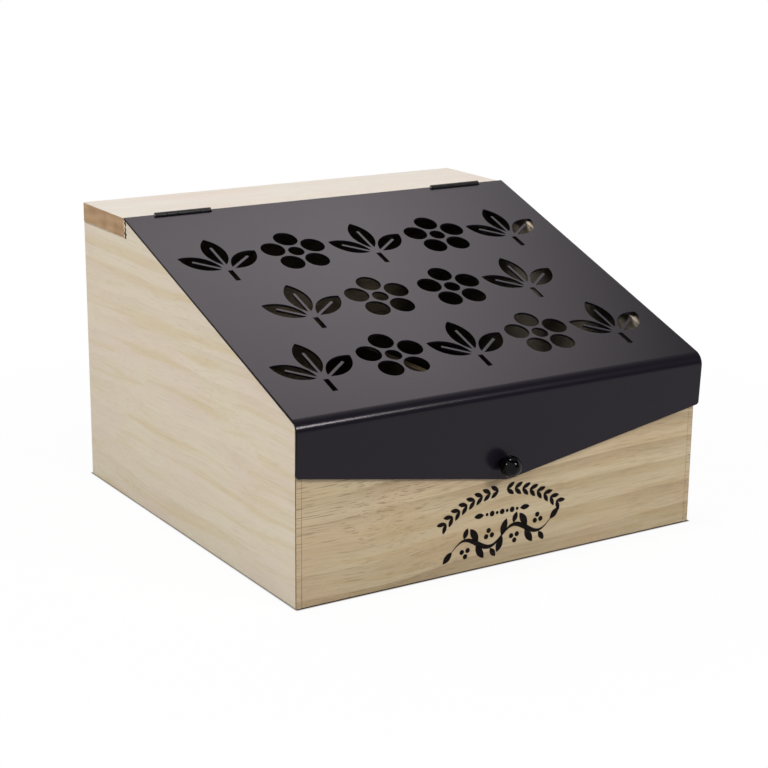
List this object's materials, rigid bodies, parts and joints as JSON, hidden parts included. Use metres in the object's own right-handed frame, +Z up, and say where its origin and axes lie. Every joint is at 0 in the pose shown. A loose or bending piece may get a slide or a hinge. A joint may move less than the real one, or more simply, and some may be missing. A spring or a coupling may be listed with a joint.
{
  "type": "tea bag organizer box",
  "caption": "Low wooden box with a sloped front, six inner compartments and a hinged black sheet metal lid with leaf and blossom cut-outs and a small ball knob.",
  "frame": {"origin": "centre of the underside, on the surface that the box stands on", "axes": "+X to the right seen from the front, +Y from the front to the back, +Z up"},
  "size_m": [0.222, 0.2261, 0.1446],
  "materials": {
    "pine_panel": "satin",
    "pine_board": "satin",
    "plywood": "matte",
    "powder_coat": "satin",
    "knob_black": "gloss",
    "hinge_black": "satin",
    "bright_steel": "satin"
  },
  "bodies": {
    "box": {"side_left": "pine_panel", "side_right": "pine_panel", "front_panel": "pine_panel", "back_panel": "pine_panel", "top_board": "pine_board", "base_panel": "plywood", "base_nails": "bright_steel", "divider_long": "plywood", "divider_cross_left": "plywood", "divider_cross_right": "plywood", "hinge_left_fixed_leaf": "hinge_black", "hinge_left_pin": "bright_steel", "hinge_left_screws": "hinge_black", "hinge_right_fixed_leaf": "hinge_black", "hinge_right_pin": "bright_steel", "hinge_right_screws": "hinge_black"},
    "lid": {"lid_sheet": "powder_coat", "knob": "knob_black", "knob_screw": "bright_steel", "hinge_left_lid_leaf": "hinge_black", "hinge_right_lid_leaf": "hinge_black"}
  },
  "joints": [
    {"name": "lid_hinge", "type": "hinge", "parent": "box", "child": "lid", "pos_m": [0, 0.056, 0.1432], "axis": [-1, 0, 0], "range_deg": [0, 199]}
  ]
}
